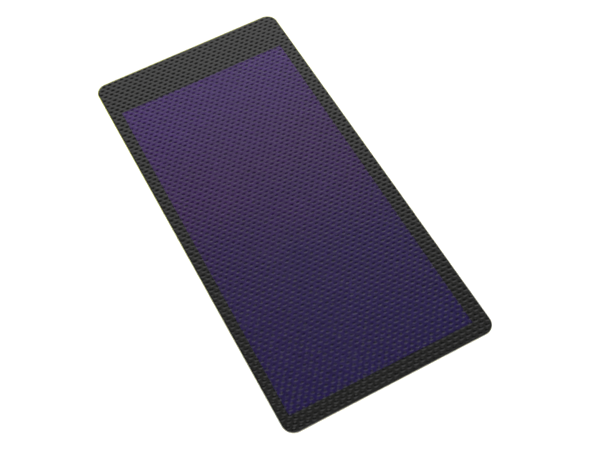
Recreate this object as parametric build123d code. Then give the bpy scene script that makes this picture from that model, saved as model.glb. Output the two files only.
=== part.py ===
from build123d import *
import os

# A flexible thin-film solar sheet: films, foils and copper ribbons laminated into one limp panel.
# The origin is the middle of the underside. +Z is the side that faces the light, and +Y is the
# end with the terminals. All sizes are in millimetres.

# Outline of the laminate.
sheet_length = 190.0
sheet_width = 90.0
corner_radius = 5.0
edge_flash = 0.2  # encapsulant squeezed out past the films, all round

# Layer thicknesses, in order from the underside up.
back_sheet_thickness = 0.18
rear_encapsulant_thickness = 0.18
web_thickness = 0.05
cell_thickness = 0.05
bus_adhesive_thickness = 0.03
ribbon_thickness = 0.10
cover_over_ribbons = 0.15  # encapsulant between the bus ribbons and the border print
print_thickness = 0.03
front_film_thickness = 0.25

# Black border print: what is left of the sheet around its clear window.
left_border = 4.8
right_border = 6.2
foot_border = 7.0
terminal_border = 19.5
window_turn = -0.4  # degrees; the window is printed slightly out of square with the sheet

# Cells: narrow strips side by side, all running the length of the sheet.
cell_count = 10
scribe_width = 0.12  # gap between neighbouring strips, filled by a printed series link
print_cover = 0.8  # how far a bus ribbon stays back from the window, so that it never shows
end_cover = 1.5  # how far the strips run on under the print at both ends
web_margin = 0.2  # carrier web left bare round the strips

# Bus ribbons on the two outermost strips, and the leads from them to the terminals.
ribbon_width = 2.0
ribbon_inset = 0.1  # from the outer edge of the outermost strip
ribbon_foot_gap = 1.0  # strip left bare past the foot end of a ribbon
lead_width = 5.0

# Terminal pads, which the underside's windows leave bare for soldering.
pad_length = 12.0
pad_width = 8.0
pad_thickness = 0.10
pad_spacing = 40.0  # centre to centre
pad_grip = 1.0  # rim of a pad held under the encapsulant
pad_window_radius = 1.0
tinning_inset = 0.4  # from the edge of a pad's window
tinning_thickness = 0.06

# Polarity marks, printed flush in the underside beside the pads.
mark_size = 3.2
mark_stroke = 0.8
mark_depth = 0.03
mark_gap = 2.0  # from a pad's window to its mark

# Heights worked out from the layers.
back_top = back_sheet_thickness
rear_top = back_top + rear_encapsulant_thickness
web_top = rear_top + web_thickness
cell_top = web_top + cell_thickness
ribbon_bottom = cell_top + bus_adhesive_thickness
ribbon_top = ribbon_bottom + ribbon_thickness
print_bottom = ribbon_top + cover_over_ribbons
film_bottom = print_bottom + print_thickness

# The print's window.
window_width = sheet_width - left_border - right_border
window_length = sheet_length - foot_border - terminal_border
window_x = (left_border - right_border) / 2
window_y = (foot_border - terminal_border) / 2

# The field of cell strips, wider than the window by what the bus ribbons need.
field_width = window_width + 2 * (print_cover + ribbon_width + ribbon_inset)
field_length = window_length + 2 * end_cover
field_left = window_x - field_width / 2
field_foot = window_y - field_length / 2
field_head = window_y + field_length / 2
strip_width = (field_width - (cell_count - 1) * scribe_width) / cell_count
strip_pitch = strip_width + scribe_width

# The leads lie midway between the carrier web and the terminal end of the sheet.
lead_y = (field_head + web_margin + sheet_length / 2) / 2
ribbon_foot = field_foot + ribbon_foot_gap
ribbon_head = lead_y + lead_width / 2
ribbon_offset = field_width / 2 - ribbon_inset - ribbon_width / 2
pad_window_length = pad_length - 2 * pad_grip
pad_window_width = pad_width - 2 * pad_grip

# Each pole of the sheet: its name and the side of the middle line that it lies on.
poles = {"negative": -1, "positive": 1}


def plate(length_x, length_y, thickness, bottom, radius=0.0, x=0.0, y=0.0, turn=0.0):
    """A flat plate centred on x, y, with its underside at height bottom."""
    outline = RectangleRounded(length_x, length_y, radius) if radius else Rectangle(length_x, length_y)
    return Pos(x, y, bottom) * Rot(0, 0, turn) * extrude(outline, thickness)


def film(thickness, bottom):
    """A full-size film, cut back from the laminate's outline by the flash."""
    trimmed_width = sheet_width - 2 * edge_flash
    trimmed_length = sheet_length - 2 * edge_flash
    return plate(trimmed_width, trimmed_length, thickness, bottom, corner_radius - edge_flash)


def encapsulant(thickness, bottom):
    """A full-size layer of encapsulant, before it flows round what lies in it."""
    return plate(sheet_width, sheet_length, thickness, bottom, corner_radius)


def pad_window(side, thickness, bottom):
    """The opening under one terminal pad."""
    x = side * pad_spacing / 2
    return plate(
        pad_window_length, pad_window_width, thickness, bottom, pad_window_radius, x, lead_y
    )


def border_print():
    """Opaque black ink on the underside of the front film, open over the cells."""
    window = plate(
        window_width, window_length, print_thickness, print_bottom, 0, window_x, window_y, window_turn
    )
    return film(print_thickness, print_bottom) - window


def cell_strip(number):
    """One thin-film cell, counted from the negative side."""
    x = field_left + strip_width / 2 + number * strip_pitch
    return plate(strip_width, field_length, cell_thickness, web_top, 0, x, window_y)


def series_links():
    """Conductive ink in the scribe lines, joining each strip to the next one."""
    first_link = field_left + strip_width + scribe_width / 2
    return [
        plate(
            scribe_width, field_length, cell_thickness, web_top, 0, first_link + n * strip_pitch, window_y
        )
        for n in range(cell_count - 1)
    ]


def carrier_web():
    """The polyimide foil that the cells are deposited on."""
    return plate(
        field_width + 2 * web_margin,
        field_length + 2 * web_margin,
        web_thickness,
        rear_top,
        0,
        window_x,
        window_y,
    )


def ribbon_x(side):
    return window_x + side * ribbon_offset


def bus_adhesive(side):
    """Conductive adhesive between an outermost strip and its ribbon."""
    length = field_head - ribbon_foot
    middle = (field_head + ribbon_foot) / 2
    return plate(
        ribbon_width, length, bus_adhesive_thickness, cell_top, 0, ribbon_x(side), middle
    )


def bus_ribbon(side):
    """Tinned copper ribbon along an outermost strip, running on to the lead."""
    length = ribbon_head - ribbon_foot
    middle = (ribbon_head + ribbon_foot) / 2
    return plate(ribbon_width, length, ribbon_thickness, ribbon_bottom, 0, ribbon_x(side), middle)


def lead(side):
    """Tinned copper strip from under a bus ribbon to the inner end of its pad."""
    outer = ribbon_x(side) + side * ribbon_width / 2
    inner = side * (pad_spacing - pad_length) / 2
    return plate(
        abs(outer - inner), lead_width, cell_top - rear_top, rear_top, 0, (outer + inner) / 2, lead_y
    )


def solder_joint(side):
    """Solder between a bus ribbon and the lead that passes under it."""
    return plate(
        ribbon_width, lead_width, ribbon_bottom - cell_top, cell_top, 0, ribbon_x(side), lead_y
    )


def terminal_pad(side):
    """Tinned copper pad spot-welded under a lead."""
    x = side * pad_spacing / 2
    return plate(pad_length, pad_width, pad_thickness, rear_top - pad_thickness, 0, x, lead_y)


def pad_tinning(side):
    """Flat coat of solder on the bare face of a pad, clear of the window's edge."""
    return plate(
        pad_window_length - 2 * tinning_inset,
        pad_window_width - 2 * tinning_inset,
        tinning_thickness,
        rear_top - pad_thickness - tinning_thickness,
        pad_window_radius - tinning_inset,
        side * pad_spacing / 2,
        lead_y,
    )


def polarity_marks():
    """A plus and a minus, each in the underside beside its own pad."""
    y = lead_y - pad_window_width / 2 - mark_gap - mark_size / 2
    x = pad_spacing / 2
    across = plate(mark_size, mark_stroke, mark_depth, 0, 0, x, y)
    upright = plate(mark_stroke, mark_size, mark_depth, 0, 0, x, y)
    minus = plate(mark_size, mark_stroke, mark_depth, 0, 0, -x, y)
    return [across + upright, minus]


def back_sheet(marks):
    """Black polyester underside, with the pads' windows and the recesses of the marks."""
    windows = [pad_window(side, back_sheet_thickness, 0) for side in poles.values()]
    return film(back_sheet_thickness, 0) - windows - marks


def rear_encapsulant(pads):
    """Encapsulant under the web, which grips the rims of the pads."""
    depth = rear_encapsulant_thickness - pad_thickness
    windows = [pad_window(side, depth, back_top) for side in poles.values()]
    return encapsulant(rear_encapsulant_thickness, back_top) - windows - pads


def front_encapsulant(buried):
    """Clear encapsulant from the rear layer to the front film, moulded round all it buries."""
    return encapsulant(film_bottom - rear_top, rear_top) - buried


def build_nodes():
    """Every sub-part by name, as a list of its separate solids."""
    nodes = {f"cell_strip_{n + 1:02d}": [cell_strip(n)] for n in range(cell_count)}
    nodes["series_links"] = series_links()
    nodes["carrier_web"] = [carrier_web()]
    for pole, side in poles.items():
        nodes[f"{pole}_bus_adhesive"] = [bus_adhesive(side)]
        nodes[f"{pole}_bus_ribbon"] = [bus_ribbon(side)]
        nodes[f"{pole}_lead"] = [lead(side)]
    nodes["solder_joints"] = [solder_joint(side) for side in poles.values()]
    nodes["border_print"] = [border_print()]

    buried = [solid for solids in nodes.values() for solid in solids]
    nodes["front_encapsulant"] = [front_encapsulant(buried)]
    nodes["front_film"] = [film(front_film_thickness, film_bottom)]

    pads = {f"{pole}_terminal_pad": [terminal_pad(side)] for pole, side in poles.items()}
    nodes.update(pads)
    nodes["rear_encapsulant"] = [rear_encapsulant([pad for [pad] in pads.values()])]
    nodes["pad_tinning"] = [pad_tinning(side) for side in poles.values()]
    nodes["polarity_marks"] = polarity_marks()
    nodes["back_sheet"] = [back_sheet(nodes["polarity_marks"])]
    return nodes


os.makedirs("parts", exist_ok=True)
for name, solids in build_nodes().items():
    shape = solids[0] if len(solids) == 1 else Compound(children=solids)
    shape.label = name
    export_step(shape, f"parts/{name}.step")
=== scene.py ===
import math

import bmesh
import bpy
from mathutils import Matrix, Quaternion, Vector, noise


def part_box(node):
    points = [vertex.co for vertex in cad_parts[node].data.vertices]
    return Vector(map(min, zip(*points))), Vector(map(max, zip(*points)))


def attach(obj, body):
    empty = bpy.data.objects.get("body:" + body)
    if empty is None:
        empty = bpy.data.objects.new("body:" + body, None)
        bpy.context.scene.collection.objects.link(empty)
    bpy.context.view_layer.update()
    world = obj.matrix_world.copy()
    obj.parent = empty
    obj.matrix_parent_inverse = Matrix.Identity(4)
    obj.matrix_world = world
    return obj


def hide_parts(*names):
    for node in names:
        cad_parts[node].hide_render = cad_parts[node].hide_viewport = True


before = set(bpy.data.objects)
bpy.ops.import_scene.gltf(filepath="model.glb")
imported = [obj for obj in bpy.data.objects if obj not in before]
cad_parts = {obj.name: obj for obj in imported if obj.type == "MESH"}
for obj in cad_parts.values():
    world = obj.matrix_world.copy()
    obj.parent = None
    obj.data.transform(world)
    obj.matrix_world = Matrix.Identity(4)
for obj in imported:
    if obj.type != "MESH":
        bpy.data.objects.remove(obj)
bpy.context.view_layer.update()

mm = 0.001


# ---------------------------------------------------------------------------------------------
# Camera. It stands at the foot of the sheet, a little to the left, and looks down at it.
# ---------------------------------------------------------------------------------------------
camera_turn = math.radians(-22.54)
camera_height = math.radians(57.22)
camera_roll = math.radians(-6.25)
camera_distance = 439.5 * mm
camera_aim = Vector((1.78 * mm, -15.42 * mm, 0.0))
camera_lens = 64.27  # mm

to_camera = Vector(
    (
        math.sin(camera_turn) * math.cos(camera_height),
        -math.cos(camera_turn) * math.cos(camera_height),
        math.sin(camera_height),
    )
)
bpy.ops.object.camera_add(location=camera_aim + camera_distance * to_camera)
camera = bpy.context.object
camera.rotation_mode = "QUATERNION"
upright_view = (-to_camera).to_track_quat("-Z", "Y")
camera.rotation_quaternion = Quaternion(to_camera, camera_roll) @ upright_view
camera.data.lens = camera_lens
camera.data.clip_start = 10 * mm
bpy.context.scene.camera = camera


# ---------------------------------------------------------------------------------------------
# Table and light. A white sweep with no visible end. A large soft panel behind the sheet gives
# the sheen, a broad soft light in front gives the colours, and the rest of the room is dark.
# ---------------------------------------------------------------------------------------------
floor_size = 40.0
floor_glow = 0.6

bpy.ops.mesh.primitive_plane_add(size=floor_size)
floor = bpy.context.object
floor.name = "white_table"

floor_finish = bpy.data.materials.new("white table")
floor_finish.use_nodes = True
# The floor's glow keeps it white. It is too even to be worth sampling as a light.
floor_finish.cycles.emission_sampling = "NONE"
floor_shader = floor_finish.node_tree.nodes["Principled BSDF"]
floor_shader.inputs["Base Color"].default_value = (0.9, 0.9, 0.9, 1)
floor_shader.inputs["Roughness"].default_value = 0.9
floor_shader.inputs["Specular IOR Level"].default_value = 0.1
floor_shader.inputs["Emission Color"].default_value = (1, 1, 1, 1)
floor_shader.inputs["Emission Strength"].default_value = floor_glow
floor.data.materials.append(floor_finish)

# How bright the room is at each height: 0 is straight down, 0.5 is level and 1 is overhead.
room_levels = ((0.46, 0.0), (0.47, 0.9), (0.55, 0.9), (0.61, 0.02), (1.0, 0.014))
front_light = 2.4
front_light_edge = math.radians(38)
front_light_core = math.radians(20)
front_light_height = math.radians(50)


def fill_ramp(ramp, stops):
    """Sets a colour ramp's stops, each one a position and a grey level."""
    for number, (position, level) in enumerate(stops):
        if number < 2:
            stop = ramp.color_ramp.elements[number]
            stop.position = position
        else:
            stop = ramp.color_ramp.elements.new(position)
        stop.color = (level, level, level, 1)


studio = bpy.data.worlds.new("studio")
studio.use_nodes = True
bpy.context.scene.world = studio
room_nodes, room_links = studio.node_tree.nodes, studio.node_tree.links
room_place = room_nodes.new("ShaderNodeTexCoord")
room_axes = room_nodes.new("ShaderNodeSeparateXYZ")
room_height = room_nodes.new("ShaderNodeMapRange")
room_height.inputs["From Min"].default_value = -1.0
room_ramp = room_nodes.new("ShaderNodeValToRGB")
fill_ramp(room_ramp, room_levels)
towards_front = room_nodes.new("ShaderNodeVectorMath")
towards_front.operation = "DOT_PRODUCT"
towards_front.inputs[1].default_value = (
    math.sin(camera_turn) * math.cos(front_light_height),
    -math.cos(camera_turn) * math.cos(front_light_height),
    math.sin(front_light_height),
)
front_edge = room_nodes.new("ShaderNodeMapRange")
front_edge.interpolation_type = "SMOOTHSTEP"
front_edge.inputs["From Min"].default_value = math.cos(front_light_edge)
front_edge.inputs["From Max"].default_value = math.cos(front_light_core)
front_edge.inputs["To Max"].default_value = front_light
room_level = room_nodes.new("ShaderNodeMath")
room_level.operation = "ADD"
room_links.new(room_place.outputs["Generated"], room_axes.inputs[0])
room_links.new(room_axes.outputs["Z"], room_height.inputs["Value"])
room_links.new(room_height.outputs["Result"], room_ramp.inputs["Fac"])
room_links.new(room_place.outputs["Generated"], towards_front.inputs[0])
room_links.new(towards_front.outputs["Value"], front_edge.inputs["Value"])
room_links.new(room_ramp.outputs["Color"], room_level.inputs[0])
room_links.new(front_edge.outputs["Result"], room_level.inputs[1])
room_links.new(room_level.outputs[0], room_nodes["Background"].inputs["Strength"])
room_nodes["Background"].inputs["Color"].default_value = (1, 1, 1, 1)
bpy.context.scene.view_settings.view_transform = "Standard"

panel_low_edge = math.radians(8)
panel_high_edge = math.radians(76)
panel_half_width = math.radians(26)
panel_distance = 1.2
panel_glow = 1.06
# The panel fades towards its top. Each pair is a share of its height, and the light there.
panel_fade = ((0.0, 1.0), (0.48, 1.0), (0.62, 0.66), (0.73, 0.25), (0.87, 0.0))

panel_height = (panel_low_edge + panel_high_edge) / 2
to_panel = Vector(
    (
        -math.sin(camera_turn) * math.cos(panel_height),
        math.cos(camera_turn) * math.cos(panel_height),
        math.sin(panel_height),
    )
)
bpy.ops.object.light_add(type="AREA", location=panel_distance * to_panel)
panel = bpy.context.object
panel.name = "soft_panel"
panel.rotation_mode = "QUATERNION"
panel.rotation_quaternion = to_panel.to_track_quat("Z", "Y")
panel.data.shape = "RECTANGLE"
panel.data.size = 2 * panel_distance * math.tan(panel_half_width)
panel.data.size_y = 2 * panel_distance * math.tan((panel_high_edge - panel_low_edge) / 2)
panel.data.energy = panel_glow * math.pi * panel.data.size * panel.data.size_y
panel.visible_camera = False
panel.data.use_nodes = True
panel_nodes, panel_links = panel.data.node_tree.nodes, panel.data.node_tree.links
panel_place = panel_nodes.new("ShaderNodeNewGeometry")
panel_axes = panel_nodes.new("ShaderNodeSeparateXYZ")
panel_ramp = panel_nodes.new("ShaderNodeValToRGB")
fill_ramp(panel_ramp, panel_fade)
panel_links.new(panel_place.outputs["Parametric"], panel_axes.inputs[0])
panel_links.new(panel_axes.outputs["Y"], panel_ramp.inputs["Fac"])
panel_links.new(panel_ramp.outputs["Color"], panel_nodes["Emission"].inputs["Strength"])


# ---------------------------------------------------------------------------------------------
# Front film. Clear polymer film, pressed against coarse cloth while hot, which leaves rows of
# small oval dimples, every other row shifted by half. Its cut edge is rolled down.
# ---------------------------------------------------------------------------------------------
film_low, film_high = (Vector(corner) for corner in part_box("front_film"))
film_radius = 4.8 * mm
dimple_pitch = 2.915 * mm
row_spacing = 1.887 * mm
imprint_turn = math.radians(1.2)
dimple_depth = 0.20 * mm
dimple_radii = (1.15 * mm, 0.80 * mm)
dimple_steps = ((1.0, 0.06), (0.58, 0.55))  # ring as a share of the rim, and its share of depth
# Each ring of the rolled edge: how far out it lies, and how far down.
edge_roll = (
    (0.30 * mm, 0.01 * mm),
    (0.50 * mm, 0.04 * mm),
    (0.64 * mm, 0.09 * mm),
    (0.70 * mm, 0.16 * mm),
)
edge_width = edge_roll[-1][0]
edge_dimple_fade = 0.4  # how much of a dimple's depth each ring keeps
bond_gap = 0.004 * mm
weld_distance = 0.01 * mm
smooth_below = math.radians(50)  # edges sharper than this stay sharp

bpy.ops.object.select_all(action="DESELECT")
bpy.ops.mesh.primitive_circle_add(vertices=8, radius=1.0, fill_type="NGON")
film = bpy.context.object
film.name = "embossed_front_film"
for vertex in film.data.vertices:
    # Rounding an octagon's corners to whole steps gives the corners and middles of a rectangle.
    vertex.co.x = round(vertex.co.x) * dimple_pitch / 2
    vertex.co.y = round(vertex.co.y) * row_spacing / 2

bpy.ops.object.mode_set(mode="EDIT")
bpy.ops.mesh.select_all(action="SELECT")
tile = bmesh.from_edit_mesh(film.data)
for ring, sunk in dimple_steps:
    # The inset only makes the ring's vertices, which are then put in place one by one.
    bpy.ops.mesh.inset(thickness=0.1 * mm)
    picked = [vertex for vertex in tile.verts if vertex.select]
    for vertex in picked:
        angle = math.atan2(vertex.co.y / row_spacing, vertex.co.x / dimple_pitch)
        step = round(angle / (math.pi / 4)) * math.pi / 4
        vertex.co.x = ring * dimple_radii[0] * math.cos(step)
        vertex.co.y = ring * dimple_radii[1] * math.sin(step)
        vertex.co.z = -sunk * dimple_depth
bpy.ops.mesh.poke(offset=0)
for vertex in tile.verts:
    if vertex.co.xy.length < weld_distance:
        vertex.co.z = -dimple_depth
bpy.ops.object.mode_set(mode="OBJECT")

# A second tile, half a pitch along, makes the next row.
bpy.ops.object.duplicate()
bpy.ops.object.mode_set(mode="EDIT")
bpy.ops.mesh.select_all(action="SELECT")
bpy.ops.transform.translate(value=(dimple_pitch / 2, row_spacing, 0))
bpy.ops.object.mode_set(mode="OBJECT")
film.select_set(True)
bpy.context.view_layer.objects.active = film
bpy.ops.object.join()

spare = 4 * mm
columns = math.ceil((film_high.x - film_low.x + 2 * spare) / dimple_pitch)
row_pairs = math.ceil((film_high.y - film_low.y + 2 * spare) / (2 * row_spacing))
for count, offset in ((columns, (dimple_pitch, 0, 0)), (row_pairs, (0, 2 * row_spacing, 0))):
    rows = film.modifiers.new("rows of dimples", "ARRAY")
    rows.count = count
    rows.use_relative_offset = False
    rows.use_constant_offset = True
    rows.constant_offset_displace = offset
    bpy.ops.object.modifier_apply(modifier=rows.name)

bpy.ops.object.mode_set(mode="EDIT")
bpy.ops.mesh.select_all(action="SELECT")
bpy.ops.mesh.remove_doubles(threshold=weld_distance)
middle = (columns * dimple_pitch / 2, row_pairs * row_spacing, 0)
bpy.ops.transform.translate(value=tuple(-value for value in middle))
bpy.ops.object.mode_set(mode="OBJECT")
film.data.transform(Matrix.Rotation(imprint_turn, 4, "Z"))

# The cloth's threads wander, so the dimples do too, and no two are pressed equally deep.
wander_size = 2.6 * mm
wander = 0.16 * mm
depth_change = 0.35
deepest = 0.235 * mm  # leaves a little film under every dimple
wander_seed = 5

noise.seed_set(wander_seed)
for vertex in film.data.vertices:
    push = noise.noise_vector(vertex.co.xy.to_3d() / wander_size)
    vertex.co.z = max(vertex.co.z * (1 + depth_change * push.z), -deepest)
    vertex.co.x += wander * push.x
    vertex.co.y += wander * push.y

# The window of the border print, whose corners are those of the print's own mesh that lie well
# inside its outline. The film is cut along the window's edges, because ink backs the rest.
narrowest_border = 2 * mm
inner_corners = [
    vertex.co
    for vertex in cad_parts["border_print"].data.vertices
    if abs(vertex.co.x) < film_high.x - narrowest_border
    and abs(vertex.co.y) < film_high.y - narrowest_border
]
window_middle = sum(inner_corners, Vector()) / len(inner_corners)
head_left = min(inner_corners, key=lambda corner: corner.x - corner.y)
head_right = max(inner_corners, key=lambda corner: corner.x + corner.y)
foot_left = min(inner_corners, key=lambda corner: corner.x + corner.y)
window_turn = math.atan2(head_right.y - head_left.y, head_right.x - head_left.x)
window_half = Vector(((head_right - head_left).length, (head_left - foot_left).length)) / 2
bpy.ops.object.mode_set(mode="EDIT")
for x, y in ((1, 0), (-1, 0), (0, 1), (0, -1)):
    outward = Vector((x * math.cos(window_turn) - y * math.sin(window_turn), 0, 0))
    outward.y = x * math.sin(window_turn) + y * math.cos(window_turn)
    at = window_middle + outward * (abs(x) * window_half.x + abs(y) * window_half.y)
    bpy.ops.mesh.select_all(action="SELECT")
    bpy.ops.mesh.bisect(plane_co=(at.x, at.y, 0), plane_no=outward)
bpy.ops.object.mode_set(mode="OBJECT")

# The embossed sheet is cut to the film's outline, less the width of the rolled edge.
core = Vector((film_high.x - film_radius, film_high.y - film_radius))
cut_radius = film_radius - edge_width
corner_cuts = 14
bpy.ops.object.mode_set(mode="EDIT")
sheet = bmesh.from_edit_mesh(film.data)
for x, y in ((1, 0), (-1, 0), (0, 1), (0, -1)):
    bpy.ops.mesh.select_all(action="SELECT")
    bpy.ops.mesh.bisect(
        plane_co=(x * (core.x + cut_radius), y * (core.y + cut_radius), 0),
        plane_no=(x, y, 0),
        clear_outer=True,
    )
for x, y in ((1, 1), (-1, 1), (-1, -1), (1, -1)):
    for cut in range(1, corner_cuts):
        angle = math.pi / 2 * cut / corner_cuts
        outward = Vector((x * math.cos(angle), y * math.sin(angle), 0))
        at = Vector((x * core.x, y * core.y, 0)) + cut_radius * outward
        bpy.ops.mesh.select_mode(type="FACE")
        for face in sheet.faces:
            centre = face.calc_center_median()
            face.select_set(centre.x * x > core.x - 1 * mm and centre.y * y > core.y - 1 * mm)
        bmesh.update_edit_mesh(film.data)
        bpy.ops.mesh.bisect(plane_co=at, plane_no=outward, clear_outer=True)
        sheet = bmesh.from_edit_mesh(film.data)


def pick_open_edge():
    """Selects the edges that only one face uses."""
    bpy.ops.mesh.select_mode(type="EDGE")
    bpy.ops.mesh.select_all(action="DESELECT")
    bpy.ops.mesh.select_non_manifold(
        extend=False, use_wire=False, use_multi_face=False, use_non_contiguous=False, use_verts=False
    )


# The edge is rolled down in rings, each one further out along the outline.
for reach, drop in edge_roll:
    pick_open_edge()
    bpy.ops.mesh.extrude_region()
    sheet = bmesh.from_edit_mesh(film.data)
    for vertex in sheet.verts:
        if not vertex.select:
            continue
        inner = Vector(
            (max(-core.x, min(core.x, vertex.co.x)), max(-core.y, min(core.y, vertex.co.y)))
        )
        outward = (vertex.co.xy - inner).normalized()
        place = inner + outward * (cut_radius + reach)
        vertex.co = (place.x, place.y, vertex.co.z * edge_dimple_fade - drop)
film_thickness = film_high.z - film_low.z
pick_open_edge()
bpy.ops.mesh.extrude_region()
for vertex in bmesh.from_edit_mesh(film.data).verts:
    if vertex.select:
        vertex.co.z = bond_gap - film_thickness
bpy.ops.mesh.edge_face_add()
bpy.ops.mesh.select_all(action="SELECT")
bpy.ops.mesh.normals_make_consistent(inside=False)
bpy.ops.transform.translate(value=(0, 0, film_high.z))
bpy.ops.object.mode_set(mode="OBJECT")
bpy.ops.object.shade_smooth_by_angle(angle=smooth_below)

# Grain of a rolled or coated material: fine specks, and broad faint clouds over them. Every
# finish on the sheet uses it, at its own two sizes.
grain = bpy.data.node_groups.new("grain and clouds", "ShaderNodeTree")
for socket in ("Grain Size", "Cloud Size"):
    grain.interface.new_socket(socket, in_out="INPUT", socket_type="NodeSocketFloat")
for socket in ("Grain", "Clouds"):
    grain.interface.new_socket(socket, in_out="OUTPUT", socket_type="NodeSocketFloat")
grain_in = grain.nodes.new("NodeGroupInput")
grain_out = grain.nodes.new("NodeGroupOutput")
grain_place = grain.nodes.new("ShaderNodeTexCoord")
for size_socket, result, detail in (("Grain Size", "Grain", 3.0), ("Cloud Size", "Clouds", 2.0)):
    per_metre = grain.nodes.new("ShaderNodeMath")
    per_metre.operation = "DIVIDE"
    per_metre.inputs[0].default_value = 1.0
    specks = grain.nodes.new("ShaderNodeTexNoise")
    specks.inputs["Detail"].default_value = detail
    grain.links.new(grain_in.outputs[size_socket], per_metre.inputs[1])
    grain.links.new(per_metre.outputs[0], specks.inputs["Scale"])
    grain.links.new(grain_place.outputs["Object"], specks.inputs["Vector"])
    grain.links.new(specks.outputs["Fac"], grain_out.inputs[result])


def finish(name, dark, light, rough, grain_size, cloud_size, grain_height):
    """A material between two colours and two roughnesses, with its grain raised by a height."""
    made = bpy.data.materials.new(name)
    made.use_nodes = True
    nodes, links = made.node_tree.nodes, made.node_tree.links
    shader = nodes["Principled BSDF"]
    specks = nodes.new("ShaderNodeGroup")
    specks.node_tree = grain
    specks.inputs["Grain Size"].default_value = grain_size
    specks.inputs["Cloud Size"].default_value = cloud_size

    tint = nodes.new("ShaderNodeValToRGB")
    tint.color_ramp.elements[0].position = 0.3
    tint.color_ramp.elements[1].position = 0.7
    tint.color_ramp.elements[0].color = (*dark, 1)
    tint.color_ramp.elements[1].color = (*light, 1)
    links.new(specks.outputs["Clouds"], tint.inputs["Fac"])
    links.new(tint.outputs["Color"], shader.inputs["Base Color"])

    roughness = nodes.new("ShaderNodeMapRange")
    roughness.name = "roughness"
    roughness.inputs["From Min"].default_value = 0.3
    roughness.inputs["From Max"].default_value = 0.7
    roughness.inputs["To Min"].default_value = rough[0]
    roughness.inputs["To Max"].default_value = rough[1]
    links.new(specks.outputs["Grain"], roughness.inputs["Value"])
    links.new(roughness.outputs["Result"], shader.inputs["Roughness"])

    relief = nodes.new("ShaderNodeBump")
    relief.inputs["Distance"].default_value = grain_height
    links.new(specks.outputs["Grain"], relief.inputs["Height"])
    links.new(relief.outputs["Normal"], shader.inputs["Normal"])
    return made, shader


# The film is clear over the window. Outside the window black ink backs it, so it is black right
# through. The dimples get painted shade, a darker tint in the base colour, and shine less than the
# ridges, which adds to the contrast that the mesh alone gives.
wall_steepening = 0.4
ridge_shine = 0.62
pressed_from = 0.15  # as a share of the full depth
pressed_to = 0.62
for name, dark, light, clearness, dimple_painted_shade, pressed_shine in (
    ("clear embossed film", (0.72, 0.72, 0.71), (0.78, 0.78, 0.78), 1.0, 0.16, 0.12),
    ("ink-backed film", (0.016, 0.016, 0.0150), (0.019, 0.019, 0.0175), 0.0, 0.34, 0.27),
):
    embossed_film, film_shader = finish(
        name,
        dark=dark,
        light=light,
        rough=(0.277, 0.295),
        grain_size=0.25 * mm,
        cloud_size=14 * mm,
        grain_height=0.006 * mm,
    )
    film_shader.inputs["Transmission Weight"].default_value = clearness
    film_shader.inputs["IOR"].default_value = 1.58
    nodes, links = embossed_film.node_tree.nodes, embossed_film.node_tree.links
    axes = nodes.new("ShaderNodeSeparateXYZ")
    pressed = nodes.new("ShaderNodeMapRange")
    pressed.inputs["From Min"].default_value = film_high.z - pressed_from * dimple_depth
    pressed.inputs["From Max"].default_value = film_high.z - pressed_to * dimple_depth
    # Painted shade: the base colour is multiplied darker in the dimples, most at their bottoms.
    dimple_painted_shade_mix = nodes.new("ShaderNodeMix")
    dimple_painted_shade_mix.data_type = "RGBA"
    dimple_painted_shade_mix.blend_type = "MULTIPLY"
    dimple_painted_shade_mix.inputs["B"].default_value = (dimple_painted_shade, dimple_painted_shade, dimple_painted_shade, 1)
    shine = nodes.new("ShaderNodeMapRange")
    shine.inputs["To Min"].default_value = ridge_shine
    shine.inputs["To Max"].default_value = pressed_shine
    links.new(nodes.new("ShaderNodeTexCoord").outputs["Object"], axes.inputs[0])
    links.new(axes.outputs["Z"], pressed.inputs["Value"])
    links.new(pressed.outputs["Result"], dimple_painted_shade_mix.inputs["Factor"])
    links.new(nodes["Color Ramp"].outputs["Color"], dimple_painted_shade_mix.inputs["A"])
    links.new(dimple_painted_shade_mix.outputs["Result"], film_shader.inputs["Base Color"])
    links.new(pressed.outputs["Result"], shine.inputs["Value"])
    links.new(shine.outputs["Result"], film_shader.inputs["Specular IOR Level"])
    # A bump steepens the dimples' walls, since the mesh can't be deeper than the film is thick.
    steeper = nodes.new("ShaderNodeMath")
    steeper.operation = "MULTIPLY_ADD"
    steeper.inputs[1].default_value = wall_steepening
    grain_relief = nodes.new("ShaderNodeMath")
    grain_relief.operation = "MULTIPLY"
    grain_relief.inputs[1].default_value = nodes["Bump"].inputs["Distance"].default_value
    nodes["Bump"].inputs["Distance"].default_value = 1.0
    links.new(nodes["Group"].outputs["Grain"], grain_relief.inputs[0])
    links.new(axes.outputs["Z"], steeper.inputs[0])
    links.new(grain_relief.outputs[0], steeper.inputs[2])
    links.new(steeper.outputs[0], nodes["Bump"].inputs["Height"])
    film.data.materials.append(embossed_film)

# The underside is melted to what lies below, so that face is fully transparent.
bonded_face = bpy.data.materials.new("bonded face")
bonded_face.use_nodes = True
bonded_face.node_tree.nodes["Principled BSDF"].inputs["Alpha"].default_value = 0.0
film.data.materials.append(bonded_face)
square_on = Matrix.Rotation(-window_turn, 3, "Z")
facing_down = -0.5
for face in film.data.polygons:
    in_window = square_on @ (face.center - window_middle)
    if face.normal.z < facing_down:
        face.material_index = 2
    elif abs(in_window.x) > window_half.x or abs(in_window.y) > window_half.y:
        face.material_index = 1
# Shadow and diffuse rays don't see the film, so light reaches the cells directly, with less noise.
film.visible_shadow = False
film.visible_diffuse = False

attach(film, "root")
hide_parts("front_film")


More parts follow.
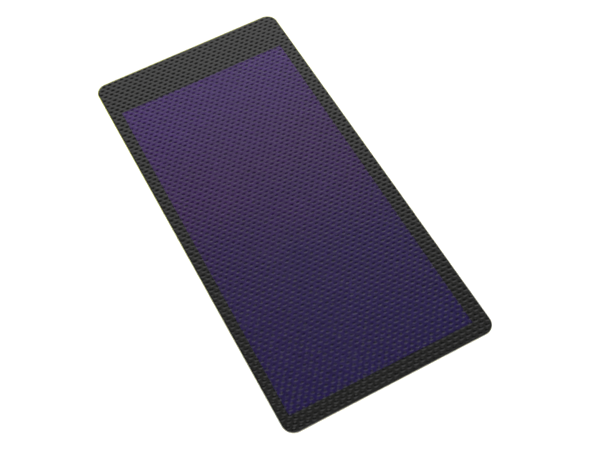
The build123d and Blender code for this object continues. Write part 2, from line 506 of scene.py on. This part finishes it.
# ---------------------------------------------------------------------------------------------
# Front encapsulant. Clear melted adhesive between the film and the cells. It shows only where it
# was squeezed out past the films: a thin pale bead all round, widest and yellowest at the head.
# ---------------------------------------------------------------------------------------------
glue_low, glue_high = (Vector(corner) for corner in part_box("front_encapsulant"))
glue_low -= Vector((0.15 * mm, 0, 0))  # squeezed out on the left
glue_high += Vector((0.05 * mm, 0.35 * mm, 0))  # and on the right and at the head
glue_radius = 5.15 * mm
glue_corner_steps = 14
bead_round = 0.08 * mm
bead_segments = 3
face_margin = 0.3 * mm  # rim of the large faces that isn't bonded
level = 0.9  # least vertical part of a large face's normal
smallest_large_face = (10 * mm) ** 2

bpy.ops.object.select_all(action="DESELECT")
bpy.ops.mesh.primitive_cube_add(size=1, location=(glue_low + glue_high) / 2, scale=glue_high - glue_low)
glue = bpy.context.object
glue.name = "clear_encapsulant"
bpy.ops.object.transform_apply(location=True, rotation=True, scale=True)
bpy.ops.object.mode_set(mode="EDIT")
bpy.ops.mesh.select_mode(type="EDGE")
bpy.ops.mesh.select_all(action="DESELECT")
block = bmesh.from_edit_mesh(glue.data)
for edge in block.edges:
    rise = abs(edge.verts[0].co.z - edge.verts[1].co.z)
    edge.select_set(rise > weld_distance)
bpy.ops.mesh.bevel(offset=glue_radius, segments=glue_corner_steps, affect="EDGES")
block = bmesh.from_edit_mesh(glue.data)
bpy.ops.mesh.select_all(action="DESELECT")
for face in block.faces:
    face.select_set(abs(face.normal.z) > level)
bpy.ops.mesh.inset(thickness=face_margin, use_individual=True)
bpy.ops.object.mode_set(mode="OBJECT")
bead = glue.modifiers.new("rounded bead", "BEVEL")
bead.width = bead_round
bead.segments = bead_segments
bead.limit_method = "ANGLE"
bead.angle_limit = math.radians(60)
bpy.ops.object.modifier_apply(modifier=bead.name)
bpy.ops.object.shade_smooth_by_angle(angle=smooth_below)

squeezed_glue, glue_shader = finish(
    "pale yellow encapsulant",
    dark=(0.74, 0.74, 0.62),
    light=(0.80, 0.81, 0.20),
    rough=(0.28, 0.45),
    grain_size=0.3 * mm,
    cloud_size=5 * mm,
    grain_height=0.01 * mm,
)


def colour_along(material, foot, head, cloudiness, between=()):
    """Takes a finish from its dark colour at the foot to its light one at the head, unevenly."""
    nodes, links = material.node_tree.nodes, material.node_tree.links
    axes = nodes.new("ShaderNodeSeparateXYZ")
    along = nodes.new("ShaderNodeMapRange")
    along.inputs["From Min"].default_value = foot
    along.inputs["From Max"].default_value = head
    middling = nodes.new("ShaderNodeMath")
    middling.operation = "SUBTRACT"
    middling.inputs[1].default_value = 0.5
    uneven = nodes.new("ShaderNodeMath")
    uneven.operation = "MULTIPLY_ADD"
    uneven.inputs[1].default_value = cloudiness
    uneven.use_clamp = True
    tint = nodes["Color Ramp"]
    tint.color_ramp.elements[0].position = 0.0
    tint.color_ramp.elements[1].position = 1.0
    for position, colour in between:
        tint.color_ramp.elements.new(position).color = (*colour, 1)
    links.new(nodes.new("ShaderNodeTexCoord").outputs["Object"], axes.inputs[0])
    links.new(axes.outputs["Y"], along.inputs["Value"])
    links.new(nodes["Group"].outputs["Clouds"], middling.inputs[0])
    links.new(middling.outputs[0], uneven.inputs[0])
    links.new(along.outputs["Result"], uneven.inputs[2])
    links.new(uneven.outputs[0], tint.inputs["Fac"])


colour_along(squeezed_glue, foot=glue_low.y, head=glue_high.y, cloudiness=0.3)
glue_shader.inputs["Subsurface Weight"].default_value = 0.3
glue_shader.inputs["Subsurface Radius"].default_value = (0.5 * mm, 0.4 * mm, 0.3 * mm)
glue.data.materials.append(squeezed_glue)
glue.data.materials.append(bonded_face)
for face in glue.data.polygons:
    is_bonded = abs(face.normal.z) > level and face.area > smallest_large_face
    face.material_index = 1 if is_bonded else 0
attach(glue, "root")
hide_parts("front_encapsulant")


# ---------------------------------------------------------------------------------------------
# Border print. Opaque black ink, screen printed on the underside of the film round its window.
# ---------------------------------------------------------------------------------------------
border_ink, ink_shader = finish(
    "black border ink",
    dark=(0.004, 0.004, 0.005),
    light=(0.010, 0.010, 0.012),
    rough=(0.5, 0.7),
    grain_size=0.2 * mm,
    cloud_size=18 * mm,
    grain_height=0.004 * mm,
)
ink_shader.inputs["Specular IOR Level"].default_value = 0.15


def dress(material, *names):
    """Gives CAD nodes their finish."""
    for name in names:
        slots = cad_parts[name].data.materials
        slots.clear()
        slots.append(material)


dress(border_ink, "border_print")


# ---------------------------------------------------------------------------------------------
# Cells. Thin silicon film on foil, coloured lighter violet at the head and darker indigo towards
# the foot. The strips were cut from one coated roll.
# ---------------------------------------------------------------------------------------------
cell_film, cell_shader = finish(
    "violet thin film",
    dark=(0.018, 0.0028, 0.118),
    light=(0.066, 0.0042, 0.200),
    rough=(0.35, 0.5),
    grain_size=0.12 * mm,
    cloud_size=22 * mm,
    grain_height=0.002 * mm,
)
cell_shader.inputs["Specular IOR Level"].default_value = 0.2
colour_along(
    cell_film,
    foot=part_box("cell_strip_01")[0].y,
    head=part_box("cell_strip_01")[1].y,
    cloudiness=0.35,
    between=((0.35, (0.028, 0.0028, 0.120)), (0.65, (0.054, 0.0030, 0.136))),
)
dress(cell_film, *(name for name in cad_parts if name.startswith("cell_strip")))


# ---------------------------------------------------------------------------------------------
# Series links and carrier web. The links are dark conductive ink, printed in the scribe lines.
# The web is amber polyimide foil under all the strips.
# ---------------------------------------------------------------------------------------------
link_ink, _ = finish(
    "conductive ink",
    dark=(0.020, 0.006, 0.060),
    light=(0.035, 0.010, 0.085),
    rough=(0.4, 0.6),
    grain_size=0.05 * mm,
    cloud_size=6 * mm,
    grain_height=0.003 * mm,
)
dress(link_ink, "series_links")
polyimide, _ = finish(
    "amber polyimide",
    dark=(0.30, 0.10, 0.015),
    light=(0.42, 0.16, 0.03),
    rough=(0.2, 0.35),
    grain_size=0.15 * mm,
    cloud_size=10 * mm,
    grain_height=0.002 * mm,
)
dress(polyimide, "carrier_web")


# ---------------------------------------------------------------------------------------------
# Bus ribbons, leads and terminal pads. Flat copper strip, hot-dip tinned, so its coat is bright
# and a little streaky. The ribbons are stuck down with grey conductive adhesive.
# ---------------------------------------------------------------------------------------------
tinned, tinned_shader = finish(
    "tinned copper",
    dark=(0.55, 0.53, 0.49),
    light=(0.74, 0.72, 0.68),
    rough=(0.22, 0.42),
    grain_size=0.35 * mm,
    cloud_size=4 * mm,
    grain_height=0.008 * mm,
)
tinned_shader.inputs["Metallic"].default_value = 1.0
for pole in ("negative", "positive"):
    dress(tinned, f"{pole}_bus_ribbon", f"{pole}_lead", f"{pole}_terminal_pad")
bus_glue, _ = finish(
    "conductive adhesive",
    dark=(0.10, 0.10, 0.11),
    light=(0.16, 0.16, 0.17),
    rough=(0.5, 0.7),
    grain_size=0.1 * mm,
    cloud_size=5 * mm,
    grain_height=0.004 * mm,
)
dress(bus_glue, "negative_bus_adhesive", "positive_bus_adhesive")


# ---------------------------------------------------------------------------------------------
# Solder. It joins each ribbon to its lead, and lies as a flat coat on the bare pads, where it
# has set with a dull, slightly pitted skin.
# ---------------------------------------------------------------------------------------------
solder, solder_shader = finish(
    "set solder",
    dark=(0.50, 0.50, 0.50),
    light=(0.68, 0.68, 0.67),
    rough=(0.25, 0.5),
    grain_size=0.5 * mm,
    cloud_size=3 * mm,
    grain_height=0.02 * mm,
)
solder_shader.inputs["Metallic"].default_value = 1.0
dress(solder, "solder_joints", "pad_tinning")


# ---------------------------------------------------------------------------------------------
# Rear encapsulant. The same adhesive as in front, and pale yellow where its cut edge shows.
# ---------------------------------------------------------------------------------------------
dress(squeezed_glue, "rear_encapsulant")


# ---------------------------------------------------------------------------------------------
# Back sheet and polarity marks. Black polyester with a satin, finely grained underside, and a
# plain plus and minus printed on it in white ink.
# ---------------------------------------------------------------------------------------------
back_film, back_shader = finish(
    "black polyester",
    dark=(0.010, 0.010, 0.011),
    light=(0.018, 0.018, 0.019),
    rough=(0.55, 0.72),
    grain_size=0.3 * mm,
    cloud_size=25 * mm,
    grain_height=0.012 * mm,
)
back_shader.inputs["Specular IOR Level"].default_value = 0.3
dress(back_film, "back_sheet")
mark_ink, _ = finish(
    "white marking ink",
    dark=(0.66, 0.66, 0.64),
    light=(0.80, 0.80, 0.78),
    rough=(0.5, 0.7),
    grain_size=0.15 * mm,
    cloud_size=2 * mm,
    grain_height=0.006 * mm,
)
dress(mark_ink, "polarity_marks")
